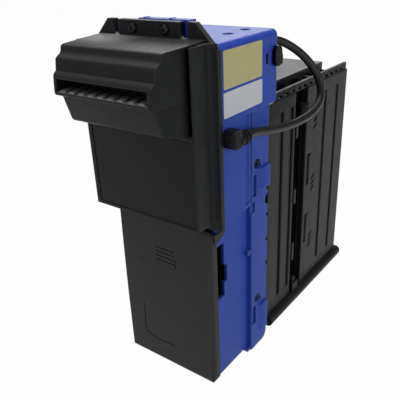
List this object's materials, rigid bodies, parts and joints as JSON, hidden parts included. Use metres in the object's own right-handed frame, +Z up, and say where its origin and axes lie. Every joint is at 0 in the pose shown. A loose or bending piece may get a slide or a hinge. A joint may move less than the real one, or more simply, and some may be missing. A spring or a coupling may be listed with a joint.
{
  "type": "bill acceptor",
  "caption": "Panel-mounted bill acceptor: black bezel with an inlet nose, blue validator body with a hinged access cover, and a pull-off stacking cash box behind",
  "frame": {"origin": "on the floor under the middle of the outline without the lead", "axes": "+Z up, front with the bill mouth towards -Y, cash box towards +Y, +X to the right seen from the front"},
  "size_m": [0.1061, 0.24, 0.2461],
  "materials": {
    "black_abs": "fine moulded grain",
    "charcoal_abs": "satin moulded",
    "blue_abs": "satin moulded",
    "grey_plastic": "satin moulded",
    "dark_guide": "satin moulded",
    "white_acetal": "smooth",
    "steel_pin": "turned",
    "black_screw": "black oxide",
    "spring_wire": "drawn wire",
    "motor_can": "drawn can",
    "brass_gear": "machined",
    "circuit_board": "solder mask",
    "roller_rubber": "ground",
    "cable_jacket": "satin jacket"
  },
  "bodies": {
    "validator": {"bezel_mask": "black_abs", "inlet_guide": "black_abs", "front_panel": "black_abs", "bezel_screws": "black_screw", "main_housing": "blue_abs", "rear_frame": "blue_abs", "frame_screws": "black_screw", "cover_pins": "steel_pin", "lever_pin": "steel_pin", "plug_socket": "black_abs", "cable_gland": "black_abs", "cable": "cable_jacket", "cable_plug": "cable_jacket", "inner_guide": "dark_guide", "side_plate_left": "grey_plastic", "side_plate_right": "grey_plastic", "turn_guide": "dark_guide", "transport_motor": "motor_can", "motor_cradle": "dark_guide", "drive_belt": "roller_rubber", "inlet_cheek_left": "grey_plastic", "inlet_cheek_right": "grey_plastic", "main_board": "circuit_board", "board_spacers": "brass_gear", "sensor_board": "circuit_board", "stacker_motor": "motor_can", "stacker_cradle": "dark_guide", "stacker_bracket_left": "grey_plastic", "stacker_bracket_right": "grey_plastic"},
    "cover": {"front_cover": "charcoal_abs"},
    "lever": {"release_lever": "black_abs"},
    "drum": {"turn_drum": "white_acetal", "drum_tyres": "roller_rubber"},
    "drive_pinion": {"motor_pinion": "brass_gear"},
    "inlet": {"inlet_roller": "steel_pin", "inlet_tyres": "roller_rubber"},
    "idler": {"inlet_idler": "white_acetal"},
    "pusher": {"pusher_plate": "grey_plastic"},
    "rack_shaft": {"stacker_shaft": "white_acetal"},
    "rack_pinion": {"stacker_pinion": "brass_gear"},
    "cash_box": {"stack_front": "charcoal_abs", "stack_rear": "charcoal_abs", "stack_base": "charcoal_abs", "stack_rails": "charcoal_abs", "lid_pins": "steel_pin", "pressure_springs": "spring_wire"},
    "lid": {"stack_lid": "grey_plastic"},
    "pressure": {"pressure_plate": "grey_plastic"}
  },
  "joints": [
    {"name": "cover_hinge", "type": "hinge", "parent": "validator", "child": "cover", "pos_m": [0, -0.0767, 0.004], "axis": [1, 0, 0], "range_deg": [0, 75]},
    {"name": "lever_pivot", "type": "hinge", "parent": "validator", "child": "lever", "pos_m": [0, -0.018, 0.199], "axis": [1, 0, 0], "range_deg": [0, 4], "stiffness_Nm_per_rad": 0.3, "springref_deg": -2.86},
    {"name": "drum_spin", "type": "hinge", "parent": "validator", "child": "drum", "pos_m": [0, -0.0365, 0.0265], "axis": [1, 0, 0], "continuous": true},
    {"name": "drive_pinion_spin", "type": "hinge", "parent": "validator", "child": "drive_pinion", "pos_m": [0, -0.0365, 0.0515], "axis": [1, 0, 0], "continuous": true},
    {"name": "inlet_spin", "type": "hinge", "parent": "validator", "child": "inlet", "pos_m": [0, -0.064, 0.207], "axis": [1, 0, 0], "continuous": true},
    {"name": "idler_spin", "type": "hinge", "parent": "validator", "child": "idler", "pos_m": [0, -0.064, 0.2167], "axis": [1, 0, 0], "continuous": true},
    {"name": "pusher_slide", "type": "slide", "parent": "validator", "child": "pusher", "axis": [0, 1, 0], "range_m": [0, 0.012]},
    {"name": "rack_shaft_turn", "type": "hinge", "parent": "validator", "child": "rack_shaft", "pos_m": [0, -0.034, 0.114], "axis": [-1, 0, 0], "range_deg": [-0.5, 86.5]},
    {"name": "rack_pinion_turn", "type": "hinge", "parent": "validator", "child": "rack_pinion", "pos_m": [0, -0.034, 0.094], "axis": [-1, 0, 0], "range_deg": [-201.5, 1]},
    {"name": "cash_box_pull", "type": "slide", "parent": "validator", "child": "cash_box", "axis": [0, 1, 0], "range_m": [0, 0.15]},
    {"name": "lid_hinge", "type": "hinge", "parent": "cash_box", "child": "lid", "pos_m": [0, 0.106, 0.1822], "axis": [-1, 0, 0], "range_deg": [0, 100]},
    {"name": "pressure_slide", "type": "slide", "parent": "cash_box", "child": "pressure", "axis": [0, 1, 0], "range_m": [0, 0.075], "stiffness_N_per_m": 60, "springref_m": -0.03, "deforming": ["pressure_springs"]}
  ],
  "couplings": [
    {"joint": "drive_pinion_spin", "follows": "drum_spin", "ratio": -2.5714},
    {"joint": "inlet_spin", "follows": "drum_spin", "ratio": 1},
    {"joint": "idler_spin", "follows": "drum_spin", "ratio": -1.3},
    {"joint": "rack_shaft_turn", "follows": "pusher_slide", "rad_per_m": 125},
    {"joint": "rack_pinion_turn", "follows": "pusher_slide", "rad_per_m": -291.67}
  ]
}
